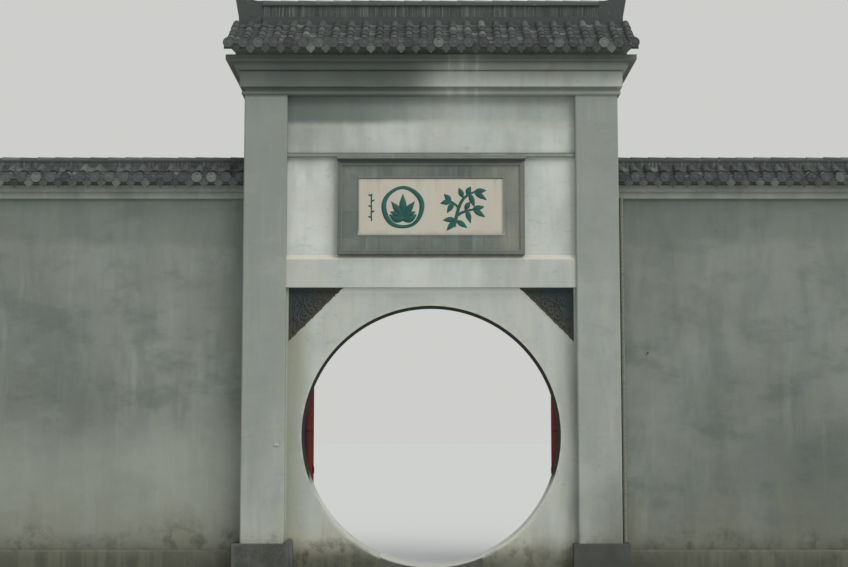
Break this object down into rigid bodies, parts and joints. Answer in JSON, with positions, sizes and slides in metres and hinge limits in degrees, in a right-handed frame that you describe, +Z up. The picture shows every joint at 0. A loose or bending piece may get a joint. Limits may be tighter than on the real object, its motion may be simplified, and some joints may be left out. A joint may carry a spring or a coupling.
{
  "type": "moon gate",
  "caption": "Plastered garden-wall gate with a round opening, framed plaque, corbelled cornice, tiled roof, coped side walls and a pair of inward-opening plank doors.",
  "frame": {"origin": "ground level under the middle of the round opening, on the underside of the threshold stone, midway through the pilasters", "axes": "+X along the wall to the right as seen from the front, +Y through the opening towards the back, +Z up"},
  "size_m": [10.4, 2.345, 6.631],
  "materials": {
    "wall_plaster": "weathered grey lime plaster on brick masonry",
    "pilaster_plaster": "weathered pale grey lime plaster on brick masonry",
    "cornice_plaster": "damp-stained grey plaster on corbelled brick",
    "base_stone": "dark grey dressed stone, worn",
    "threshold_stone": "foot-worn grey stone",
    "plinth_stone": "damp dark plaster and stone foot of the wall",
    "carved_brick": "charcoal carved brick",
    "frame_brick": "rubbed dark grey brick",
    "plaque_stone": "pale pinkish stone board with a shallow green ornament",
    "roof_tile": "unglazed dark grey clay tile",
    "red_timber": "dull red painted planks",
    "pipe_iron": "dark painted iron, dull"
  },
  "bodies": {
    "gate": {"cornice_bed": "cornice_plaster", "cornice_corona": "cornice_plaster", "cornice_fascia": "cornice_plaster", "cornice_ovolo": "cornice_plaster", "door_head": "red_timber", "front_roof_slope": "roof_tile", "left_coping_cornice": "cornice_plaster", "left_coping_ridge": "roof_tile", "left_coping_roof": "roof_tile", "left_lower_moon_wall": "wall_plaster", "left_pilaster": "pilaster_plaster", "left_pilaster_base": "base_stone", "left_pivot_stone": "base_stone", "left_plinth": "plinth_stone", "left_ridge_end": "roof_tile", "left_side_wall": "wall_plaster", "left_spandrel": "carved_brick", "left_upper_moon_wall": "wall_plaster", "lintel": "wall_plaster", "plaque_board": "plaque_stone", "plaque_crown": "frame_brick", "plaque_frame_bottom": "frame_brick", "plaque_frame_left": "frame_brick", "plaque_frame_right": "frame_brick", "plaque_frame_top": "frame_brick", "rear_roof_slope": "roof_tile", "right_coping_cornice": "cornice_plaster", "right_coping_ridge": "roof_tile", "right_coping_roof": "roof_tile", "right_downpipe": "pipe_iron", "right_lower_moon_wall": "wall_plaster", "right_pilaster": "pilaster_plaster", "right_pilaster_base": "base_stone", "right_pivot_stone": "base_stone", "right_plinth": "plinth_stone", "right_ridge_end": "roof_tile", "right_side_wall": "wall_plaster", "right_spandrel": "carved_brick", "right_upper_moon_wall": "wall_plaster", "roof_core": "cornice_plaster", "roof_ridge": "roof_tile", "string_course": "wall_plaster", "threshold_stone": "threshold_stone", "upper_wall": "wall_plaster"},
    "left_door": {"left_door_leaf": "red_timber"},
    "right_door": {"right_door_leaf": "red_timber"}
  },
  "joints": [
    {"name": "left_door_hinge", "type": "hinge", "parent": "gate", "child": "left_door", "pos_m": [-1.425, 0.1, 0], "axis": [0, 0, -1], "range_deg": [0, 90]},
    {"name": "right_door_hinge", "type": "hinge", "parent": "gate", "child": "right_door", "pos_m": [1.475, 0.1, 0], "axis": [0, 0, 1], "range_deg": [0, 90]}
  ]
}
